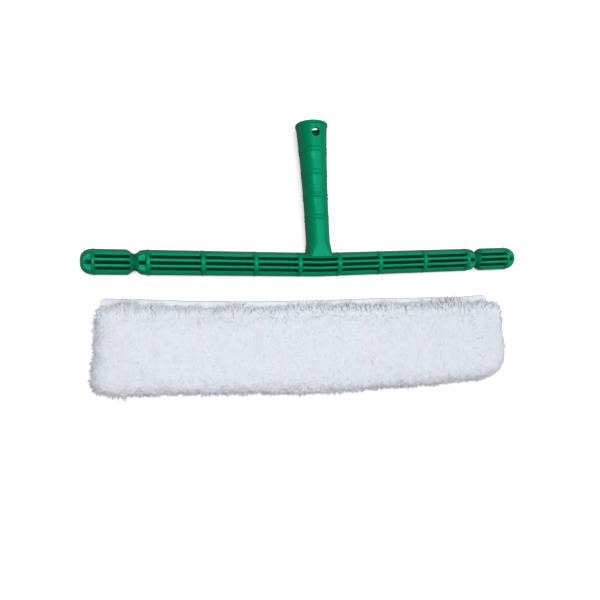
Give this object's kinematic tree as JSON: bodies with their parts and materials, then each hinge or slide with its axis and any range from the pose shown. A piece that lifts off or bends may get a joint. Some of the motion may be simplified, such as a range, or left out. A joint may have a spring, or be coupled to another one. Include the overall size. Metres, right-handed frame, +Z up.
{
  "type": "window scrubber",
  "caption": "Window washer laid out flat: a plastic T-bar with a fluted crossbar and socket handle, beside its white pile sleeve with a flap along the mouth.",
  "frame": {"origin": "on the surface that the set lies on, at the middle of the whole set's footprint", "axes": "+X along the crossbar, +Y the way the handle points, +Z up from the surface"},
  "size_m": [0.35, 0.216, 0.0261],
  "materials": {
    "bar_plastic": "moulded, semi-matte",
    "handle_plastic": "moulded, semi-matte",
    "pile": "tufted white pile",
    "lining": "smooth woven cloth",
    "band": "smooth woven cloth, hemmed",
    "tape": "hook and loop tape",
    "thread": "dense stitching"
  },
  "bodies": {
    "t_bar": {"crossbar": "bar_plastic", "handle": "handle_plastic"},
    "sleeve": {"front_pile": "pile", "back_pile": "pile", "front_lining": "lining", "back_lining": "lining", "left_end_seam": "lining", "right_end_seam": "lining", "bottom_seam": "lining", "left_hook_tape": "tape", "right_hook_tape": "tape"},
    "mouth_flap": {"mouth_flap": "band", "left_loop_tape": "tape", "right_loop_tape": "tape", "left_bar_tack": "thread", "right_bar_tack": "thread"}
  },
  "joints": [
    {"name": "sleeve_slide", "type": "slide", "parent": "t_bar", "child": "sleeve", "axis": [0, -1, 0], "range_m": [-0.01, 0.06]},
    {"name": "mouth_hinge", "type": "hinge", "parent": "sleeve", "child": "mouth_flap", "pos_m": [-0.00537, -0.0387, 0.0166], "axis": [0.9998, -0.0175, 0], "range_deg": [-20, 75], "stiffness_Nm_per_rad": 0.004}
  ]
}
